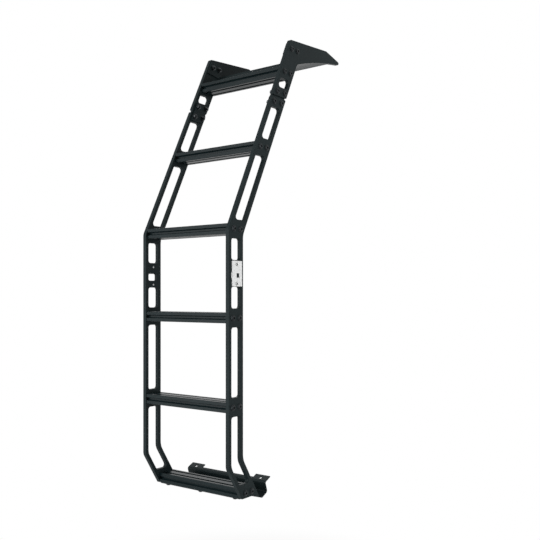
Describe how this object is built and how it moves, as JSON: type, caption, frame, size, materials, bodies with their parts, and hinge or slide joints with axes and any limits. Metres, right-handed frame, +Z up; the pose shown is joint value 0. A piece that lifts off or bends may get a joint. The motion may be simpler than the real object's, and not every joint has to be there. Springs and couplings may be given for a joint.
{
  "type": "tailgate ladder",
  "caption": "Hook-on rear door ladder: kinked windowed side rails, slotted treads, hook plates with a bearing tray and a folded lower bracket with fixing tabs.",
  "frame": {"origin": "centre of the bounding box's foot: midway between the rails, midway between the rails' front edge and the hook tips, level with the lowest fold of the lower bracket", "axes": "+Z up, +Y towards the vehicle, +X to the right of a person who faces the ladder"},
  "size_m": [0.352, 0.5954, 1.4299],
  "materials": {
    "coated_plate": "satin black powder coat",
    "tread_profile": "satin black anodised extrusion",
    "black_bolts": "black oxide",
    "bright_fixings": "bright zinc",
    "white_plate": "plain white enamel"
  },
  "bodies": {
    "root": {"left_rail": "coated_plate", "right_rail": "coated_plate", "left_hook_plate": "coated_plate", "right_hook_plate": "coated_plate", "left_splice_plate": "coated_plate", "right_splice_plate": "coated_plate", "hook_tray": "coated_plate", "lower_bracket": "coated_plate", "bottom_step": "tread_profile", "second_step": "tread_profile", "third_step": "tread_profile", "fourth_step": "tread_profile", "fifth_step": "tread_profile", "top_step": "tread_profile", "step_bolts": "black_bolts", "splice_bolts": "black_bolts", "splice_nuts": "black_bolts", "tray_bolts": "black_bolts", "tray_nuts": "black_bolts", "bracket_bolts": "black_bolts", "rail_screws": "bright_fixings", "bracket_slot_nuts": "bright_fixings", "side_plate": "white_plate"}
  },
  "joints": []
}
